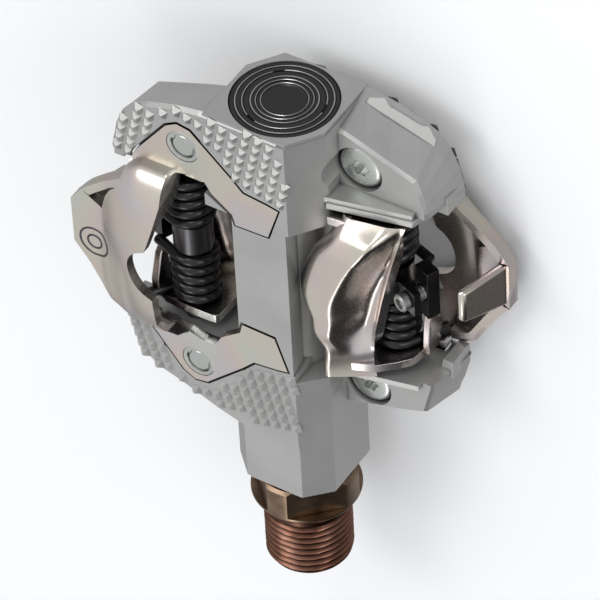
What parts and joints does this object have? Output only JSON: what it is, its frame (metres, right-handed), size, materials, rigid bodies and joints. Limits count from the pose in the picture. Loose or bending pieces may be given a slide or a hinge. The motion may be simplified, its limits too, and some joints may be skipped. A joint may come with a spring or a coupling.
{
  "type": "clipless pedal",
  "caption": "Double-sided clipless bicycle pedal: sprung claws and fixed hooks on an aluminium body that spins on a threaded spindle.",
  "frame": {"origin": "on the spindle axis, at the shoulder that meets the crank arm", "axes": "+Y along the spindle away from the crank, +Z normal to face A, -X the end with face A's fixed hook"},
  "size_m": [0.0662, 0.0974, 0.0276],
  "materials": {
    "spindle_steel": "bronze-brown oxide",
    "bearing_steel": "ground",
    "cage_brass": "satin",
    "body_aluminium": "satin, bead blasted",
    "cap_black": "satin black with bright turned rings",
    "seal_rubber": "matte",
    "bush_bronze": "satin",
    "hook_nickel": "nickel plate with a faint iridescence",
    "screw_silver": "zinc plate",
    "spring_black": "gloss black",
    "pin_steel": "dark oxide"
  },
  "bodies": {
    "spindle": {"spindle": "spindle_steel", "bearing_inner_race": "bearing_steel", "lock_washer": "screw_silver", "lock_nut": "screw_silver"},
    "ball_set": {"bearing_balls": "bearing_steel", "ball_cage": "cage_brass"},
    "pedal_body": {"housing": "body_aluminium", "end_cap": "cap_black", "cap_o_ring": "seal_rubber", "bearing_outer_race": "bearing_steel", "bearing_shields": "seal_rubber", "inboard_bush": "bush_bronze", "inboard_seal": "seal_rubber", "hook_a": "hook_nickel", "hook_b": "hook_nickel", "hook_screws_a": "screw_silver", "hook_screws_b": "screw_silver", "hook_nuts_a": "screw_silver", "hook_nuts_b": "screw_silver", "claw_pin_a": "pin_steel", "claw_pin_b": "pin_steel", "pin_sleeve_a": "pin_steel", "pin_sleeve_b": "pin_steel", "spring_a_outboard": "spring_black", "spring_a_inboard": "spring_black", "spring_b_outboard": "spring_black", "spring_b_inboard": "spring_black"},
    "claw_a": {"claw_a": "hook_nickel"},
    "tension_screw_a": {"tension_screw_a": "screw_silver"},
    "tension_nut_a": {"tension_nut_a": "pin_steel"},
    "claw_b": {"claw_b": "hook_nickel"},
    "tension_screw_b": {"tension_screw_b": "screw_silver"},
    "tension_nut_b": {"tension_nut_b": "pin_steel"}
  },
  "joints": [
    {"name": "body_spin", "type": "hinge", "parent": "spindle", "child": "pedal_body", "pos_m": [0, 0.053, 0], "axis": [0, 1, 0], "continuous": true},
    {"name": "ball_orbit", "type": "hinge", "parent": "spindle", "child": "ball_set", "pos_m": [0, 0.0705, 0], "axis": [0, 1, 0], "continuous": true},
    {"name": "claw_a_swing", "type": "hinge", "parent": "pedal_body", "child": "claw_a", "pos_m": [0.0158, 0.053, -0.0038], "axis": [0, 1, 0], "range_deg": [0, 32], "stiffness_Nm_per_rad": 0.6, "springref_deg": -17.19, "deforming": ["spring_a_outboard", "spring_a_inboard"]},
    {"name": "tension_screw_a_turn", "type": "hinge", "parent": "claw_a", "child": "tension_screw_a", "pos_m": [0.0203, 0.053, 0.0024], "axis": [0.3939, 0, -0.9191], "range_deg": [0, 541]},
    {"name": "tension_nut_a_travel", "type": "slide", "parent": "claw_a", "child": "tension_nut_a", "axis": [-0.3939, 0, 0.9191], "range_m": [0, 0.0012]},
    {"name": "claw_b_swing", "type": "hinge", "parent": "pedal_body", "child": "claw_b", "pos_m": [-0.0158, 0.053, 0.0038], "axis": [0, 1, 0], "range_deg": [0, 32], "stiffness_Nm_per_rad": 0.6, "springref_deg": -17.19, "deforming": ["spring_b_outboard", "spring_b_inboard"]},
    {"name": "tension_screw_b_turn", "type": "hinge", "parent": "claw_b", "child": "tension_screw_b", "pos_m": [-0.0203, 0.053, -0.0024], "axis": [-0.3939, 0, 0.9191], "range_deg": [0, 541]},
    {"name": "tension_nut_b_travel", "type": "slide", "parent": "claw_b", "child": "tension_nut_b", "axis": [0.3939, 0, -0.9191], "range_m": [0, 0.0012]}
  ],
  "couplings": [
    {"joint": "ball_orbit", "follows": "body_spin", "ratio": 0.6},
    {"joint": "tension_screw_a_turn", "follows": "tension_nut_a_travel", "rad_per_m": 7854},
    {"joint": "tension_screw_b_turn", "follows": "tension_nut_b_travel", "rad_per_m": 7854}
  ]
}
